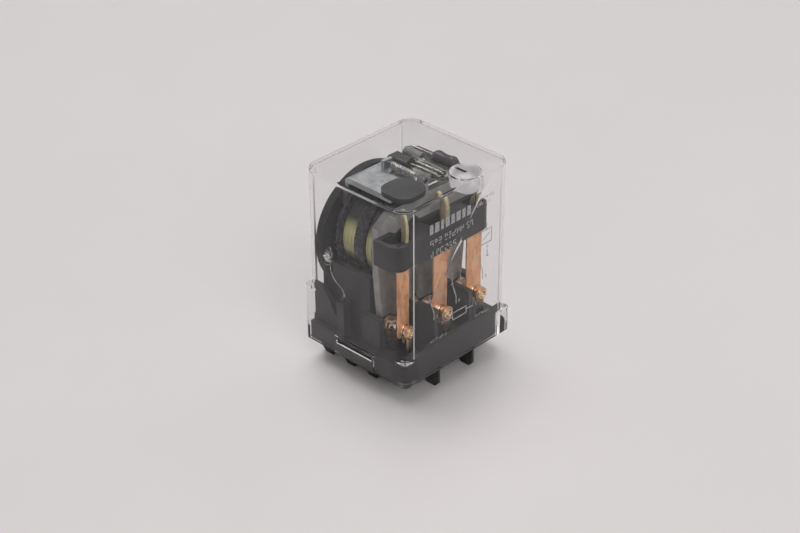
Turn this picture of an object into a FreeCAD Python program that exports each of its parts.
import FreeCAD, Part
import os
import re

import Sketcher

# A three pole plug in relay: a clear clip-on cover over a black base that carries eleven
# quick-connect blades, a coil on its side with the pole face towards +X, and a hinged armature
# whose carrier swings three copper contact blades.
# The frame is in millimetres: X along the coil's axis, Y across the poles, Z up from the blade tips.

SIZES = {
    # Cover
    "cover_depth": 35.5,
    "cover_width": 38.9,
    "cover_height": 49.6,
    "blade_drop": 6.0,
    "cover_wall": 1.0,
    "cover_corner": 5.0,
    "inner_corner": 3.0,
    "cover_edge": 0.5,
    "skirt_corner": 1.2,
    "skirt_height": 6.7,
    "rear_skirt_height": 16.0,
    "rear_skirt_depth": 6.0,
    "seat_corner": 4.6,
    "snap_width": 13.8,
    "snap_height": 5.2,
    "snap_proud": 0.3,
    "slot_width": 12.4,
    "slot_low": 3.2,
    "slot_high": 4.3,
    "lug_gap": 0.15,
    "lug_recess": 0.8,
    # Indicator lens in the top of the cover
    "lens_centre": 13.3,
    "lens_side": 6.5,
    "lens_radius": 4.05,
    "lens_depth": 4.6,
    "insert_start": 0.9,
    "insert_length": 3.6,
    "insert_width": 1.2,
    "insert_depth": 0.9,
    "insert_sink": 0.3,
    # Base
    "base_gap": 0.15,
    "floor_thick": 5.0,
    "front_wall": 1.2,
    "front_wall_height": 8.0,
    "barrier_thick": 1.2,
    "barrier_start": 6.5,
    "barrier_height": 16.5,
    "gusset_front": -7.9,
    "gusset_low": 8.2,
    "gusset_height": 16.1,
    "gusset_width": 16.9,
    "gusset_thick": 1.2,
    "gusset_crest": -13.0,
    "rear_wall_height": 9.5,
    "side_block_low": 0.5,
    "side_block_high": 6.6,
    "side_block_inner": 14.8,
    "side_block_outer": 16.5,
    "side_block_height": 13.8,
    "tag_post_height": 14.6,
    "tag_post_wall": 0.8,
    # Terminals
    "pole_pitch": 12.7,
    "blade_pitch": 14.2,
    "blade_width": 4.75,
    "blade_thick": 0.8,
    "blade_bevel": 1.1,
    "shank_width": 3.6,
    "row_closed": -14.2,
    "row_open": -6.3,
    "row_common": 1.6,
    "coil_row": 14.5,
    "coil_side": 6.35,
    "bar_bottom": 7.4,
    "bar_top": 10.2,
    "bar_inner": 2.2,
    "bar_outer": 3.0,
    "common_top": 11.4,
    "link_thick": 0.8,
    "closed_tab": 12.6,
    "open_tab": 5.8,
    "tab_thick": 0.8,
    "tab_half": 0.9,
    "foot_low": 10.6,
    "foot_top": 12.0,
    "tab_radius": 1.95,
    "coil_bar_bottom": 6.3,
    "coil_bar_top": 7.1,
    "coil_bar_back": -10.7,
    "coil_tag": -5.4,
    "coil_tag_width": 1.0,
    "coil_tag_inner": 16.4,
    "coil_tag_outer": 17.2,
    "coil_tag_top": 21.8,
    # Contacts
    "contact_height": 17.7,
    "contact_radius": 1.6,
    "rivet_radius": 0.8,
    "rivet_head": 0.5,
    "closed_face": 11.55,
    "open_face": 7.9,
    "moving_front": 11.5,
    "moving_back": 9.5,
    # Coil and magnetic circuit
    "coil_axis": 34.8,
    "bobbin_back": -11.8,
    "bobbin_front": 1.4,
    "rear_flange": 1.2,
    "rear_flange_radius": 13.8,
    "rear_flange_flat": 48.1,
    "flange_radius": 12.8,
    "middle_flange_back": -6.0,
    "middle_flange_front": -2.6,
    "front_flange": 1.2,
    "tube_radius": 5.6,
    "core_radius": 4.5,
    "pole_face": 2.0,
    "winding_radius": 11.8,
    "ring_depth": 0.8,
    "ring_offset": 1.4,
    "ring_outer": 2.8,
    "ring_inner": 2.1,
    "yoke_back": -13.1,
    "yoke_thick": 1.2,
    "yoke_top_thick": 1.6,
    "yoke_half": 9.0,
    "yoke_top": 49.8,
    "yoke_front": 2.9,
    "yoke_bend": 1.4,
    "core_hole": 2.0,
    "core_head": 3.0,
    "core_head_back": -15.6,
    "core_head_front": -14.2,
    "core_screw_front": -5.0,
    "screw_slot_half": 0.4,
    "screw_slot_depth": 0.6,
    "cap_back": -16.0,
    "cap_front": -13.2,
    "cap_radius": 16.7,
    "cap_height": 32.9,
    "cap_recess": 3.6,
    "cap_rim": 0.8,
    "cradle_front": 1.2,
    "cradle_half": 14.5,
    "cradle_top": 29.0,
    "cradle_radius": 13.95,
    "ear_back": -15.3,
    "ear_top": 25.6,
    "ear_inner": 9.2,
    "ear_gap": 0.1,
    "screw_side": 7.0,
    "screw_height": 13.8,
    "screw_radius": 1.0,
    "screw_head": 1.6,
    "screw_head_thick": 0.9,
    "screw_length": 4.0,
    # Coil tags and leads
    "solder_tag_front": -11.2,
    "solder_tag_low": 29.8,
    "solder_tag_high": 32.0,
    "solder_tag_inner": 15.2,
    "solder_tag_outer": 16.2,
    "lead_wire": 0.25,
    "lead_gap": 0.05,
    "lead_side": 16.5,
    "lead_top": 30.8,
    # Armature and carrier
    "armature_back": 3.0,
    "armature_front": 5.0,
    "armature_bottom": 19.3,
    "armature_top": 47.8,
    "armature_foot": 14.1,
    "armature_half": 15.2,
    "armature_head": 11.0,
    "armature_taper": 31.7,
    "armature_shoulder": 45.0,
    "lug_side": 1.4,
    "lug_half": 1.0,
    "lug_top": 52.6,
    "lug_hole": 0.9,
    "carrier_front": 12.7,
    "carrier_half": 16.8,
    "carrier_low": 36.0,
    "carrier_high": 42.9,
    "carrier_corner": 3.2,
    "pocket_back": 6.2,
    "pocket_front": 11.6,
    "pocket_half": 2.9,
    "pocket_floor": 40.6,
    "moving_half": 2.75,
    "moving_thick": 0.4,
    "moving_plane": 10.2,
    "moving_low": 15.6,
    "moving_high": 42.3,
    "blade_rivet_height": 39.4,
    "blade_rivet_radius": 0.9,
    "blade_rivet_start": 9.3,
    "blade_rivet_end": 11.6,
    # Flexible leads
    "flex_side": 2.6,
    "flex_radius": 0.45,
    "flex_back": 7.7,
    "flex_front": 11.4,
    "flex_loop_height": 46.6,
    "flex_end": 43.1,
    "flex_hole": 1.25,
    # Return spring and the lamp set on top of the yoke
    "spring_height": 51.4,
    "spring_radius": 1.1,
    "spring_wire": 0.35,
    "spring_back": -7.4,
    "spring_front": 2.6,
    "post_back": -9.0,
    "post_thick": 1.0,
    "post_half": 1.6,
    "post_foot": 0.4,
    "hood_back": -1.4,
    "hood_front": 8.6,
    "hood_left": -10.2,
    "hood_right": -0.2,
    "hood_top": 51.3,
    "hood_corner": 3.6,
    "hood_lip": 0.1,
    "holder_back": -10.6,
    "holder_socket": -3.0,
    "holder_left": 3.6,
    "holder_right": 15.2,
    "holder_block": 7.4,
    "holder_front": 4.4,
    "holder_low": 48.6,
    "holder_inner": 9.3,
    "holder_plate": 50.5,
    "holder_top": 52.2,
    "holder_edge": 0.8,
    "lamp_side": 5.6,
    "lamp_height": 51.8,
    "lamp_radius": 1.75,
    "lamp_gap": 0.05,
    "lamp_seat": 1.0,
    "lamp_front": 8.6,
    "lamp_wall": 0.5,
    "electrode_radius": 0.4,
    "electrode_side": 0.8,
    "electrode_front": 6.0,
    "resistor_side": 13.0,
    "resistor_radius": 1.7,
    "resistor_sink": 1.0,
    "resistor_back": -3.0,
    "resistor_front": 4.6,
    "lamp_lead_radius": 0.3,
    "lamp_lead_back": -8.0,
    "sleeve_back": -9.4,
    "sleeve_front": -3.6,
    "sleeve_radius": 1.4,
    "sleeve_side": 9.3,
    "sleeve_height": 51.5,
}

POLES = {1: "-pole_pitch", 2: "0", 3: "pole_pitch"}
ROWS = {1: "-blade_pitch", 2: "0", 3: "blade_pitch"}

doc = FreeCAD.newDocument("plug_in_relay")
sheet = doc.addObject("Spreadsheet::Sheet", "Sizes")
for row, (alias, value) in enumerate(SIZES.items(), start=1):
    sheet.set(f"A{row}", alias)
    sheet.set(f"B{row}", str(value))
    sheet.setAlias(f"B{row}", alias)
doc.recompute()

subparts = []


def bound(text):
    """An expression over the sheet's cells, from one over their plain names."""
    return re.sub(r"[a-z_]+", lambda word: f"Sizes.{word.group()}", text)


def measure(text):
    """The number that an expression over the sheet's cells comes to."""
    return float(sheet.evalExpression(bound(text)))


def new_body(label, keep=True):
    """An empty body; it is a sub-part of the relay when it is kept."""
    body = doc.addObject("PartDesign::Body", label)
    body.Label = label
    body.AllowCompound = True
    if keep:
        subparts.append(body)
    return body


def place(feature, centre):
    """Binds a feature's base point to three expressions."""
    for axis, value in zip("xyz", centre):
        feature.setExpression(f"Placement.Base.{axis}", bound(value))


def block(body, x, y, z, cut=False):
    """Adds, or cuts, a box between a low and a high expression along each axis."""
    kind = "PartDesign::SubtractiveBox" if cut else "PartDesign::AdditiveBox"
    feature = body.newObject(kind, "cut_block" if cut else "block")
    for size, (low, high) in zip(("Length", "Width", "Height"), (x, y, z)):
        feature.setExpression(size, bound(f"({high}) - ({low})"))
    place(feature, (x[0], y[0], z[0]))
    return feature


TURNS = {
    "x": FreeCAD.Rotation(FreeCAD.Vector(0, 1, 0), 90),
    "y": FreeCAD.Rotation(FreeCAD.Vector(1, 0, 0), -90),
    "z": FreeCAD.Rotation(),
}


def rod(body, axis, span, centre, radius, cut=False):
    """Adds, or cuts, a cylinder along one axis, from the first expression of span to the second."""
    kind = "PartDesign::SubtractiveCylinder" if cut else "PartDesign::AdditiveCylinder"
    feature = body.newObject(kind, "bore" if cut else "rod")
    feature.Placement = FreeCAD.Placement(FreeCAD.Vector(), TURNS[axis])
    feature.setExpression("Radius", bound(radius))
    feature.setExpression("Height", bound(f"({span[1]}) - ({span[0]})"))
    start = list(centre)
    start.insert("xyz".index(axis), span[0])
    place(feature, start)
    return feature


def dress(body, kind, size, chosen):
    """Rounds or chamfers the edges of a body's last feature that chosen() accepts."""
    doc.recompute()
    tip = body.Tip
    edges = [f"Edge{i}" for i, edge in enumerate(tip.Shape.Edges, start=1) if chosen(edge)]
    feature = body.newObject(f"PartDesign::{kind}", kind.lower())
    feature.Base = (tip, edges)
    feature.setExpression("Radius" if kind == "Fillet" else "Size", bound(size))
    doc.recompute()
    return feature


def along(axis):
    """Accepts straight edges that run along one axis."""
    index = "XYZ".index(axis.upper())

    def chosen(edge):
        if len(edge.Vertexes) != 2:
            return False
        step = edge.Vertexes[1].Point - edge.Vertexes[0].Point
        return edge.Curve.TypeId == "Part::GeomLine" and abs(step[index]) > 0.999 * step.Length

    return chosen


def at_height(height):
    """Accepts edges that lie flat at one height."""
    def chosen(edge):
        box = edge.BoundBox
        return abs(box.ZMin - height) < 1e-4 and abs(box.ZMax - height) < 1e-4

    return chosen


def profile(body, plane, points, low, high):
    """Pads a closed outline, whose corners are pairs of expressions, between two offsets from an
    origin plane of the body: YZ along X, or XZ along Y."""
    support = next(item for item in body.Origin.OriginFeatures if item.Role == f"{plane}_Plane")
    sketch = body.newObject("Sketcher::SketchObject", "outline")
    sketch.AttachmentSupport = [(support, "")]
    sketch.MapMode = "FlatFace"
    corners = [FreeCAD.Vector(*(measure(value) for value in point), 0) for point in points]
    for start, end in zip(corners, corners[1:] + corners[:1]):
        sketch.addGeometry(Part.LineSegment(start, end))
    count = len(corners)
    for index, point in enumerate(points):
        sketch.addConstraint(Sketcher.Constraint("Coincident", index, 2, (index + 1) % count, 1))
        for kind, value, number in zip(("DistanceX", "DistanceY"), point, corners[index]):
            added = sketch.addConstraint(Sketcher.Constraint(kind, -1, 1, index, 1, number))
            sketch.renameConstraint(added, f"{kind}_{index}")
            sketch.setExpression(f"Constraints.{kind}_{index}", bound(value))
    sign = -1 if plane == "XZ" else 1
    sketch.setExpression("AttachmentOffset.Base.z", bound(f"{sign} * ({low if sign > 0 else high})"))
    pad = body.newObject("PartDesign::Pad", "pad")
    pad.Profile = sketch
    pad.setExpression("Length", bound(f"({high}) - ({low})"))
    return pad


def combined(kind, label, base, tool):
    """A cut, fuse or common of two shapes, kept as a sub-part."""
    result = doc.addObject(f"Part::{kind}", label)
    result.Label = label
    result.Base = base
    result.Tool = tool
    subparts.append(result)
    return result


def group(name, members):
    """One compound of several objects."""
    compound = doc.addObject("Part::Compound", name)
    compound.Links = members
    return compound


def prism(body, half_x, half_y, z, front, cut=False, rear=None):
    """An upright block about the Z axis with rounded vertical corners, the rear pair with a
    radius of their own where one is given: three boxes and a cylinder in each corner."""
    rear = rear or front
    block(body, (f"{rear} - ({half_x})", f"{half_x} - ({front})"), (f"-({half_y})", half_y), z, cut)
    for end, corner, x in (("-", rear, (f"-({half_x})", "0")), ("", front, ("0", half_x))):
        inner_y = f"{half_y} - ({corner})"
        block(body, x, (f"-({inner_y})", inner_y), z, cut)
        for side in ("-", ""):
            rod(body, "z", z, (f"{end}({half_x} - ({corner}))", f"{side}({inner_y})"), corner, cut)


HALF_X = "cover_depth / 2"
HALF_Y = "cover_width / 2"
COVER_TOP = "blade_drop + cover_height"
FLOOR = "blade_drop + floor_thick"


def make_terminal_shank(body, row, side, top):
    """A quick-connect blade below the base, bevelled at its tip, and its narrow shank in the base."""
    blade_y = (f"{side} - blade_thick / 2", f"{side} + blade_thick / 2")
    block(body, (f"{row} - blade_width / 2", f"{row} + blade_width / 2"), blade_y, ("0", "blade_drop"))
    dress(body, "Chamfer", "blade_bevel", tip_corner)
    block(body, (f"{row} - shank_width / 2", f"{row} + shank_width / 2"), blade_y, ("blade_drop", top))


def tip_corner(edge):
    """Accepts the two edges of a blade that run across its tip."""
    return at_height(0)(edge) and along("y")(edge)


def make_contact_terminal(label, row, number, bar_y, tab_start):
    """A fixed contact's terminal: blade, link across to its bar, the bar along the base, and a
    round tab on a narrow stem."""
    body = new_body(label)
    pole, side = POLES[number], ROWS[number]
    make_terminal_shank(body, row, side, "bar_top")
    across = sorted((f"{side} - link_thick / 2", f"{side} + link_thick / 2") + bar_y, key=measure)
    link_y = (across[0], across[-1])
    block(body, (row, f"{row} + shank_width / 2"), link_y, ("bar_top - link_thick", "bar_top"))
    tab_x = (tab_start, f"{tab_start} + tab_thick")
    block(body, (row, tab_x[1]), bar_y, ("bar_bottom", "bar_top"))
    stem_y = (f"{pole} - tab_half", f"{pole} + tab_half")
    foot_y = sorted(stem_y + bar_y, key=measure)
    block(body, tab_x, bar_y, ("bar_bottom", "foot_top"))
    block(body, tab_x, (foot_y[0], foot_y[-1]), ("foot_low", "foot_top"))
    block(body, tab_x, stem_y, ("foot_low", "contact_height"))
    rod(body, "x", tab_x, (pole, "contact_height"), "tab_radius")
    rod(body, "x", tab_x, (pole, "contact_height"), "rivet_radius", cut=True)
    return body


def make_common_terminal(label, number):
    """The common terminal: a straight bar and a link that the flexible lead stands on."""
    body = new_body(label)
    side = ROWS[number]
    make_terminal_shank(body, "row_common", side, "bar_top")
    flex_x = ("flex_back - link_thick", "flex_back + link_thick")
    bar_y = (f"{side} - blade_thick / 2", f"{side} + blade_thick / 2")
    block(body, ("row_common - shank_width / 2", flex_x[1]), bar_y, ("bar_bottom", "bar_top"))
    block(body, flex_x, bar_y, ("bar_bottom", "common_top"))
    link_y = (bar_y[0], f"{POLES[number]} + flex_side + flex_radius")
    block(body, flex_x, link_y, ("common_top - link_thick", "common_top"))
    return body


def make_coil_terminal(label, sign):
    """A coil terminal: blade in front, a flat bar back under the poles, and an upright tag."""
    body = new_body(label)
    side = f"{sign}coil_side"
    make_terminal_shank(body, "coil_row", side, "coil_bar_top")
    z = ("coil_bar_bottom", "coil_bar_top")
    bar_x = ("coil_bar_back", "coil_row + shank_width / 2")
    block(body, bar_x, (f"{side} - blade_thick / 2", f"{side} + blade_thick / 2"), z)
    inner, outer = (f"{sign}coil_side", f"{sign}coil_tag_outer")
    low, high = (outer, inner) if sign == "-" else (inner, outer)
    block(body, ("coil_bar_back", "coil_bar_back + coil_tag_width"), (low, high), z)
    tag_y = (f"{sign}coil_tag_inner", f"{sign}coil_tag_outer")
    tag_y = tag_y[::-1] if sign == "-" else tag_y
    block(body, ("coil_bar_back", "coil_tag"), tag_y, z)
    block(body, ("coil_tag - coil_tag_width", "coil_tag"), tag_y, ("coil_bar_bottom", "coil_tag_top"))
    return body


def make_terminals():
    """The eleven terminals."""
    terminals = []
    for number, pole in POLES.items():
        left = (f"{pole} - bar_outer", f"{pole} - bar_inner")
        right = (f"{pole} + bar_inner", f"{pole} + bar_outer")
        for kind, bar_y in (("closed", right), ("open", left)):
            label = f"terminal_{kind}_{number}"
            terminal = make_contact_terminal(label, f"row_{kind}", number, bar_y, f"{kind}_tab")
            terminals.append(terminal)
        terminals.append(make_common_terminal(f"terminal_common_{number}", number))
    terminals.append(make_coil_terminal("terminal_coil_a", "-"))
    terminals.append(make_coil_terminal("terminal_coil_b", ""))
    return terminals


def make_base(terminals):
    """The moulded base: floor, front wall, barriers between the poles, gussets and tag posts,
    trimmed to the inside of the cover and cut for the terminals."""
    body = new_body("base_block", keep=False)
    half_x = "cover_depth / 2 - cover_wall - base_gap"
    half_y = "cover_width / 2 - cover_wall - base_gap"
    block(body, (f"-({half_x})", half_x), (f"-({half_y})", half_y), ("blade_drop", FLOOR))
    front = (f"{half_x} - front_wall", half_x)
    block(body, front, (f"-({half_y})", half_y), (FLOOR, "blade_drop + front_wall_height"))
    rear = (f"-({half_x})", f"front_wall - ({half_x})")
    block(body, rear, ("-gusset_width", "gusset_width"), (FLOOR, "blade_drop + rear_wall_height"))
    for sign in ("-", ""):
        middle = f"{sign}pole_pitch / 2"
        barrier = (f"{middle} - barrier_thick / 2", f"{middle} + barrier_thick / 2")
        block(body, ("barrier_start", front[0]), barrier, (FLOOR, "blade_drop + barrier_height"))
        spans = {
            "side_block": ("side_block_inner", "side_block_outer"),
            "gusset": ("gusset_width - gusset_thick", "gusset_width"),
            "post": ("coil_tag_inner - tag_post_wall", "coil_tag_outer + tag_post_wall"),
        }
        if sign:
            spans = {key: (f"-({high})", f"-({low})") for key, (low, high) in spans.items()}
        side_x = ("side_block_low", "side_block_high")
        block(body, side_x, spans["side_block"], (FLOOR, "blade_drop + side_block_height"))
        outline = [
            (rear[0], "blade_drop"),
            ("gusset_front", "blade_drop"),
            ("gusset_front", "blade_drop + gusset_low"),
            ("gusset_crest", "blade_drop + gusset_height"),
            (rear[0], "blade_drop + gusset_height"),
        ]
        profile(body, "XZ", outline, *spans["gusset"])
        post_x = ("coil_tag - coil_tag_width - tag_post_wall", "coil_tag + tag_post_wall")
        block(body, post_x, spans["post"], (FLOOR, "blade_drop + tag_post_height"))
    envelope = new_body("base_envelope", keep=False)
    lower = ("blade_drop", "blade_drop + skirt_height")
    prism(envelope, half_x, half_y, lower, "seat_corner", rear="skirt_corner - cover_wall")
    upper = (lower[1], f"{FLOOR} + barrier_height")
    prism(envelope, half_x, half_y, upper, "inner_corner")
    lug_x = ("lug_gap - slot_width / 2", "slot_width / 2 - lug_gap")
    lug_y = (f"lug_recess - {HALF_Y}", f"{HALF_Y} - lug_recess")
    lug_z = ("blade_drop + slot_low + lug_gap", "blade_drop + slot_high - lug_gap")
    block(body, lug_x, lug_y, lug_z)
    block(envelope, lug_x, lug_y, lug_z)
    trimmed = doc.addObject("Part::Common", "base_trimmed")
    trimmed.Base = body
    trimmed.Tool = envelope
    combined("Cut", "base", trimmed, group("terminal_slots", terminals))


def make_cover(lens_hole):
    """The clear cover: a box with round corners on a skirt with sharper ones, snap panels low on
    the two long sides, and a hole for the indicator lens."""
    body = new_body("cover_shell", keep=False)
    prism(body, HALF_X, HALF_Y, ("blade_drop", COVER_TOP), "cover_corner")
    doc.recompute()
    dress(body, "Fillet", "cover_edge", at_height(measure(COVER_TOP)))
    skirt_top = "blade_drop + skirt_height"
    prism(body, HALF_X, HALF_Y, ("blade_drop", skirt_top), "skirt_corner")
    rear_x = (f"-({HALF_X}) + skirt_corner", f"-({HALF_X}) + rear_skirt_depth")
    rear_z = (skirt_top, "blade_drop + rear_skirt_height")
    block(body, rear_x, (f"-({HALF_Y})", HALF_Y), rear_z)
    inner_y = f"{HALF_Y} - skirt_corner"
    block(body, (f"-({HALF_X})", rear_x[1]), (f"-({inner_y})", inner_y), rear_z)
    for sign in ("-", ""):
        rod(body, "z", rear_z, (rear_x[0], f"{sign}({inner_y})"), "skirt_corner")
    snap_x = ("-snap_width / 2", "snap_width / 2")
    snap_y = (f"-({HALF_Y}) - snap_proud", f"{HALF_Y} + snap_proud")
    block(body, snap_x, snap_y, ("blade_drop", "blade_drop + snap_height"))
    inside_x = f"{HALF_X} - cover_wall"
    inside_y = f"{HALF_Y} - cover_wall"
    corner = "inner_corner"
    rear = "skirt_corner - cover_wall"
    ledge = "blade_drop + rear_skirt_height - cover_wall"
    prism(body, inside_x, inside_y, ("blade_drop - 1", skirt_top), "seat_corner", cut=True, rear=rear)
    prism(body, inside_x, inside_y, (skirt_top, ledge), corner, cut=True, rear=rear)
    prism(body, inside_x, inside_y, (ledge, f"{COVER_TOP} - cover_wall"), corner, cut=True)
    slot_z = ("blade_drop + slot_low", "blade_drop + slot_high")
    block(body, ("-slot_width / 2", "slot_width / 2"), snap_y, slot_z, cut=True)
    combined("Cut", "cover", body, lens_hole)


def make_lens():
    """The round indicator lens and the dark insert in its top."""
    body = new_body("indicator_lens")
    z = (f"{COVER_TOP} - lens_depth", COVER_TOP)
    rod(body, "z", z, ("lens_centre", "lens_side"), "lens_radius")
    hole = new_body("lens_hole", keep=False)
    rod(hole, "z", z, ("lens_centre", "lens_side"), "lens_radius")
    insert_back = "lens_centre - lens_radius + insert_start"
    x = (insert_back, f"{insert_back} + insert_length")
    y = ("lens_side - insert_width / 2", "lens_side + insert_width / 2")
    z = (f"{COVER_TOP} - insert_depth", COVER_TOP)
    block(body, x, y, z, cut=True)
    insert = new_body("indicator_insert")
    block(insert, x, y, (z[0], f"{COVER_TOP} - insert_sink"))
    return hole


def make_magnet():
    """The bobbin with its two windings, the core, the shading ring, the yoke and the end cap."""
    centre = ("0", "coil_axis")
    bobbin = new_body("bobbin")
    rod(bobbin, "x", ("bobbin_back", "bobbin_front"), centre, "tube_radius")
    rod(bobbin, "x", ("bobbin_back", "bobbin_back + rear_flange"), centre, "rear_flange_radius")
    rod(bobbin, "x", ("middle_flange_back", "middle_flange_front"), centre, "flange_radius")
    rod(bobbin, "x", ("bobbin_front - front_flange", "bobbin_front"), centre, "flange_radius")
    rod(bobbin, "x", ("bobbin_back", "bobbin_front"), centre, "core_radius", cut=True)
    flat_y = ("-rear_flange_radius", "rear_flange_radius")
    block(bobbin, ("bobbin_back", "bobbin_front"), flat_y, ("rear_flange_flat", "yoke_top"), cut=True)
    windings = {
        "winding_rear": ("bobbin_back + rear_flange", "middle_flange_back"),
        "winding_front": ("middle_flange_front", "bobbin_front - front_flange"),
    }
    for label, span in windings.items():
        winding = new_body(label)
        rod(winding, "x", span, centre, "winding_radius")
        rod(winding, "x", span, centre, "tube_radius", cut=True)
    core = new_body("core")
    rod(core, "x", ("yoke_back + yoke_thick", "pole_face"), centre, "core_radius")
    ring_centre = ("ring_offset", "coil_axis")
    groove = ("pole_face - ring_depth", "pole_face")
    rod(core, "x", ("yoke_back + yoke_thick", "core_screw_front"), centre, "core_hole", cut=True)
    rod(core, "x", groove, ring_centre, "ring_outer", cut=True)
    rod(core, "x", groove, ring_centre, "ring_inner")
    ring = new_body("shading_ring")
    rod(ring, "x", groove, ring_centre, "ring_outer")
    rod(ring, "x", groove, ring_centre, "ring_inner", cut=True)
    screw = new_body("core_screw")
    rod(screw, "x", ("core_head_back", "core_head_front"), centre, "core_head")
    rod(screw, "x", ("core_head_front", "core_screw_front"), centre, "core_hole")
    slot_z = ("coil_axis - screw_slot_half", "coil_axis + screw_slot_half")
    slot_x = ("core_head_back", "core_head_back + screw_slot_depth")
    block(screw, slot_x, ("-core_head", "core_head"), slot_z, cut=True)
    make_yoke(centre)
    cap = new_body("end_cap")
    cap_centre = ("0", "cap_height")
    rod(cap, "x", ("cap_back", "cap_front"), cap_centre, "cap_radius")

    def rear_rim(edge):
        return len(edge.Vertexes) == 1 and edge.BoundBox.XMax < measure("cap_back") + 0.01

    dress(cap, "Fillet", "cap_rim", rear_rim)
    rod(cap, "x", ("cap_back", "cap_back + cap_rim"), cap_centre, "cap_radius - 2 * cap_rim", cut=True)
    rod(cap, "x", ("cap_back", "core_head_front"), centre, "cap_recess", cut=True)
    rod(cap, "x", ("core_head_front", "cap_front"), centre, "core_hole", cut=True)


def make_yoke(centre):
    """The bent steel yoke: a rear leg behind the bobbin and a top leg that reaches the hinge."""
    yoke = new_body("yoke")
    half = ("-yoke_half", "yoke_half")
    outline = [
        ("yoke_back", FLOOR),
        ("yoke_back + yoke_thick", FLOOR),
        ("yoke_back + yoke_thick", "yoke_top - yoke_top_thick"),
        ("yoke_front", "yoke_top - yoke_top_thick"),
        ("yoke_front", "yoke_top"),
        ("yoke_back", "yoke_top"),
    ]
    profile(yoke, "XZ", outline, *half)
    doc.recompute()

    def outer_bend(edge):
        box = edge.BoundBox
        at_back = box.XMax < measure("yoke_back") + 0.01
        return along("y")(edge) and at_back and box.ZMin > measure("yoke_top") - 0.01

    dress(yoke, "Fillet", "yoke_bend", outer_bend)
    leg = ("yoke_back", "yoke_back + yoke_thick")
    rod(yoke, "x", leg, centre, "core_hole", cut=True)
    for sign in ("-", ""):
        rod(yoke, "x", leg, (f"{sign}screw_side", "screw_height"), "screw_radius", cut=True)


def make_cradle():
    """The saddle that the bobbin lies in, with two screws that hold the yoke's leg to it."""
    cradle = new_body("coil_cradle")
    x = ("yoke_back + yoke_thick", "cradle_front")
    block(cradle, x, ("-cradle_half", "cradle_half"), (FLOOR, "cradle_top"))
    rod(cradle, "x", x, ("0", "coil_axis"), "cradle_radius", cut=True)
    for ear in (("-cradle_half", "-ear_inner"), ("ear_inner", "cradle_half")):
        block(cradle, ("ear_back", x[0]), ear, (FLOOR, "ear_top"))
    behind = ("cap_back - ear_gap", "cap_front + ear_gap")
    rod(cradle, "x", behind, ("0", "cap_height"), "cap_radius + ear_gap", cut=True)
    screws = new_body("yoke_screws")
    for sign in ("-", ""):
        side = (f"{sign}screw_side", "screw_height")
        end = "yoke_back + yoke_thick + screw_length"
        rod(cradle, "x", ("yoke_back + yoke_thick", end), side, "screw_radius", cut=True)
        rod(screws, "x", ("yoke_back", end), side, "screw_radius")
        rod(screws, "x", ("yoke_back - screw_head_thick", "yoke_back"), side, "screw_head")


def make_armature():
    """The hinged plate with its spring lug, and the carrier that holds the contact blades."""
    plate = new_body("armature")
    outline = [
        ("-armature_foot", "armature_bottom"),
        ("armature_foot", "armature_bottom"),
        ("armature_half", "armature_taper"),
        ("armature_half", "armature_shoulder"),
        ("armature_head", "armature_top"),
        ("-armature_head", "armature_top"),
        ("-armature_half", "armature_shoulder"),
        ("-armature_half", "armature_taper"),
    ]
    profile(plate, "YZ", outline, "armature_back", "armature_front")
    thick = ("armature_back", "armature_front")
    lug_y = ("lug_side - lug_half", "lug_side + lug_half")
    block(plate, thick, lug_y, ("armature_shoulder", "lug_top"))
    rod(plate, "x", thick, ("lug_side", "spring_height"), "lug_hole", cut=True)
    carrier = new_body("carrier_block", keep=False)
    x = ("armature_front", "carrier_front")
    block(carrier, x, ("-carrier_half", "carrier_half"), ("carrier_low", "carrier_high"))

    def front_corner(edge):
        return along("z")(edge) and edge.BoundBox.XMin > measure("carrier_front") - 0.01

    dress(carrier, "Fillet", "carrier_corner", front_corner)
    blades = []
    rivets = new_body("blade_rivets")
    for number, pole in POLES.items():
        flex_centre = ("flex_back", f"{pole} + flex_side")
        rod(carrier, "z", ("carrier_low", "carrier_high"), flex_centre, "flex_hole", cut=True)
        pocket_y = (f"{pole} - pocket_half", f"{pole} + pocket_half")
        pocket_x = ("pocket_back", "pocket_front")
        block(carrier, pocket_x, pocket_y, ("pocket_floor", "carrier_high"), cut=True)
        blades.append(make_blade(f"moving_blade_{number}", pole))
        make_contacts(number, pole)
        for offset in ("- moving_half / 2", "+ moving_half / 2"):
            centre = (f"{pole} {offset}", "blade_rivet_height")
            rivet_x = ("blade_rivet_start", "blade_rivet_end")
            rod(rivets, "x", rivet_x, centre, "blade_rivet_radius")
    combined("Cut", "carrier", carrier, group("carrier_slots", blades + [rivets]))
    combine_blades(blades, rivets)


def make_blade(label, pole):
    """A copper contact blade with rounded lower corners and a hole for its contact."""
    blade = new_body(f"{label}_strip", keep=False)
    x = ("moving_plane", "moving_plane + moving_thick")
    block(blade, x, (f"{pole} - moving_half", f"{pole} + moving_half"), ("moving_low", "moving_high"))

    def lower_corner(edge):
        return along("x")(edge) and edge.BoundBox.ZMax < measure("moving_low") + 0.01

    dress(blade, "Fillet", "moving_half / 2", lower_corner)
    rod(blade, "x", x, (pole, "contact_height"), "rivet_radius", cut=True)
    return blade


def combine_blades(blades, rivets):
    """Each blade is pierced by its own rivets."""
    for blade in blades:
        combined("Cut", blade.Label.replace("_strip", ""), blade, rivets)


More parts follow.
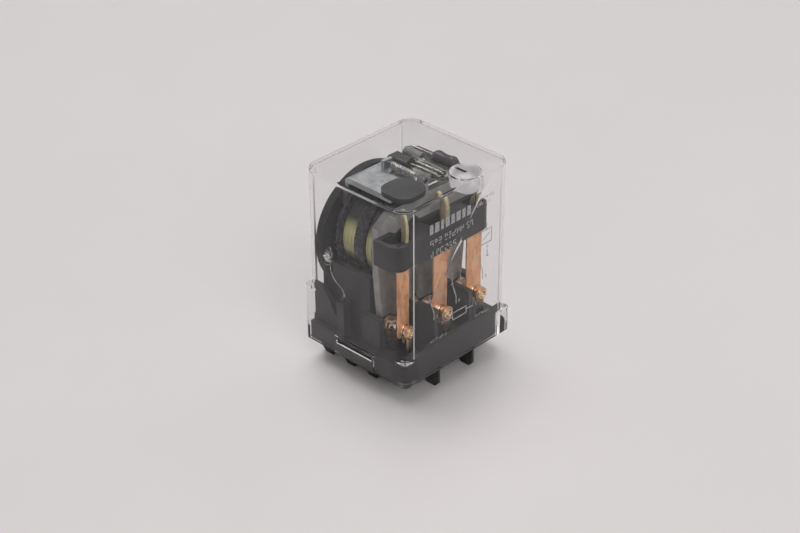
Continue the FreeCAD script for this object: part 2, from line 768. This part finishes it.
def make_contacts(number, pole):
    """One pole's contacts: the moving pair on the blade and the two fixed ones on their tabs."""
    centre = (pole, "contact_height")
    moving = new_body(f"moving_contact_{number}")
    rod(moving, "x", ("moving_back", "moving_plane"), centre, "contact_radius")
    rod(moving, "x", ("moving_plane", "moving_plane + moving_thick"), centre, "rivet_radius")
    rod(moving, "x", ("moving_plane + moving_thick", "moving_front"), centre, "contact_radius")
    closed = new_body(f"closed_contact_{number}")
    rod(closed, "x", ("closed_face", "closed_tab"), centre, "contact_radius")
    closed_back = "closed_tab + tab_thick"
    rod(closed, "x", (closed_back, f"{closed_back} + rivet_head"), centre, "contact_radius")
    rod(closed, "x", ("closed_tab", closed_back), centre, "rivet_radius")
    opened = new_body(f"open_contact_{number}")
    rod(opened, "x", ("open_tab + tab_thick", "open_face"), centre, "contact_radius")
    rod(opened, "x", ("open_tab - rivet_head", "open_tab"), centre, "contact_radius")
    rod(opened, "x", ("open_tab", "open_tab + tab_thick"), centre, "rivet_radius")


def make_flexible_leads():
    """The insulated leads: up from the common terminal, through the carrier and over to the
    top of each moving blade."""
    for number, pole in POLES.items():
        lead = new_body(f"flexible_lead_{number}")
        side = f"{pole} + flex_side"
        rod(lead, "z", ("common_top", "flex_loop_height"), ("flex_back", side), "flex_radius")
        bend = lead.newObject("PartDesign::AdditiveTorus", "bend")
        bend.setExpression("Radius1", bound("(flex_front - flex_back) / 2"))
        bend.setExpression("Radius2", bound("flex_radius"))
        bend.Angle3 = 180
        bend.Placement = FreeCAD.Placement(FreeCAD.Vector(), FreeCAD.Rotation(FreeCAD.Vector(1, 0, 0), 90))
        place(bend, ("(flex_back + flex_front) / 2", side, "flex_loop_height"))
        rod(lead, "z", ("flex_end", "flex_loop_height"), ("flex_front", side), "flex_radius")


def make_coil_leads():
    """A solder tag on each side of the end cap and the bare wire from it to the coil terminal."""
    for name, sign in (("a", -1), ("b", 1)):
        tag = new_body(f"solder_tag_{name}")
        y = ("solder_tag_inner", "solder_tag_outer")
        y = tuple(f"-({value})" for value in reversed(y)) if sign < 0 else y
        block(tag, ("cap_front", "solder_tag_front"), y, ("solder_tag_low", "solder_tag_high"))
        wire = doc.addObject("Part::Cylinder", f"coil_lead_{name}")
        wire.Label = f"coil_lead_{name}"
        subparts.append(wire)
        side = sign * measure("lead_side")
        foot = measure("coil_tag_top + lead_wire + lead_gap")
        low = FreeCAD.Vector(measure("coil_tag - coil_tag_width / 2"), side, foot)
        head = measure("solder_tag_front + lead_wire + lead_gap")
        high = FreeCAD.Vector(head, side, measure("lead_top"))
        reach = high - low
        wire.setExpression("Radius", bound("lead_wire"))
        wire.Height = reach.Length
        wire.Placement = FreeCAD.Placement(low, FreeCAD.Rotation(FreeCAD.Vector(0, 0, 1), reach))


def make_return_spring():
    """The tension spring on top of the yoke, from its post to the armature's lug."""
    spring = new_body("return_spring")
    centre = ("lug_side", "spring_height")
    rod(spring, "x", ("spring_back", "spring_front"), centre, "spring_radius")
    rod(spring, "x", ("spring_back", "spring_front"), centre, "spring_radius - spring_wire", cut=True)
    post = new_body("spring_post")
    post_x = ("post_back", "post_back + post_thick")
    post_y = ("lug_side - post_half", "lug_side + post_half")
    block(post, post_x, post_y, ("yoke_top", "spring_height + spring_radius"))
    block(post, (post_x[0], "post_back + 3 * post_thick"), post_y, ("yoke_top", "yoke_top + post_foot"))


def make_top_parts():
    """The hood over the hinge and the lamp set: holder, neon lamp, electrodes, resistor, leads."""
    hood = new_body("hinge_hood")
    hood_z = ("yoke_top + hood_lip", "hood_top")
    block(hood, ("hood_back", "hood_front"), ("hood_left", "hood_right"), hood_z)
    dress(hood, "Fillet", "hood_corner", along("z"))
    holder = new_body("lamp_holder")
    plate_x = ("holder_back", "holder_front")
    block(holder, plate_x, ("holder_inner", "holder_right"), ("holder_low", "holder_plate"))
    socket_x = ("holder_back", "holder_socket")
    block(holder, socket_x, ("holder_left", "holder_inner"), ("yoke_top", "holder_plate"))
    block(holder, socket_x, ("holder_left", "holder_block"), ("holder_plate", "holder_top"))
    dress(holder, "Fillet", "holder_edge", at_height(measure("holder_top")))
    lamp_centre = ("lamp_side", "lamp_height")
    lamp_x = ("holder_socket - lamp_seat", "lamp_front")
    rod(holder, "x", lamp_x, lamp_centre, "lamp_radius + lamp_gap", cut=True)
    lamp = new_body("neon_lamp")
    rod(lamp, "x", lamp_x, lamp_centre, "lamp_radius")
    hollow = ("holder_socket", "lamp_front - lamp_wall")
    rod(lamp, "x", hollow, lamp_centre, "lamp_radius - lamp_wall", cut=True)
    electrodes = new_body("lamp_electrodes")
    for sign in ("-", "+"):
        centre = (f"lamp_side {sign} electrode_side", lamp_centre[1])
        rod(electrodes, "x", ("holder_socket", "electrode_front"), centre, "electrode_radius")
    resistor = new_body("lamp_resistor")
    centre = ("resistor_side", "holder_plate + resistor_radius - resistor_sink")
    span = ("resistor_back", "resistor_front")
    rod(resistor, "x", span, centre, "resistor_radius")
    rod(holder, "x", ("resistor_back - lamp_gap", span[1]), centre, "resistor_radius + lamp_gap", cut=True)
    leads = new_body("lamp_leads")
    lead = ("lamp_lead_back", "resistor_back")
    rod(leads, "x", lead, centre, "lamp_lead_radius")
    rod(holder, "x", lead, centre, "lamp_lead_radius + lamp_gap", cut=True)
    sleeve = new_body("lead_sleeve")
    centre = ("sleeve_side", "sleeve_height")
    rod(sleeve, "x", ("sleeve_back", "sleeve_front"), centre, "sleeve_radius")
    trough = ("sleeve_back - lamp_gap", "sleeve_front + lamp_gap")
    rod(holder, "x", trough, centre, "sleeve_radius + lamp_gap", cut=True)


def check_and_write():
    """Stops on a failed object, and writes each sub-part to its own STEP file."""
    doc.recompute()
    failed = [item.Name for item in doc.Objects if {"Invalid", "Error"} & set(item.State)]
    if failed:
        raise RuntimeError(f"objects that failed: {failed}")
    os.makedirs("parts", exist_ok=True)
    for item in subparts:
        shape = item.Shape
        if shape.isNull() or not shape.isValid() or not shape.Solids:
            raise RuntimeError(f"{item.Label} has no sound shape")
        shape.exportStep(f"parts/{item.Label}.step")
        print(f"{item.Label}: {len(shape.Solids)} solid(s), {shape.Volume:.1f} mm3")


make_base(make_terminals())
make_cover(make_lens())
make_magnet()
make_cradle()
make_armature()
make_flexible_leads()
make_coil_leads()
make_return_spring()
make_top_parts()
check_and_write()
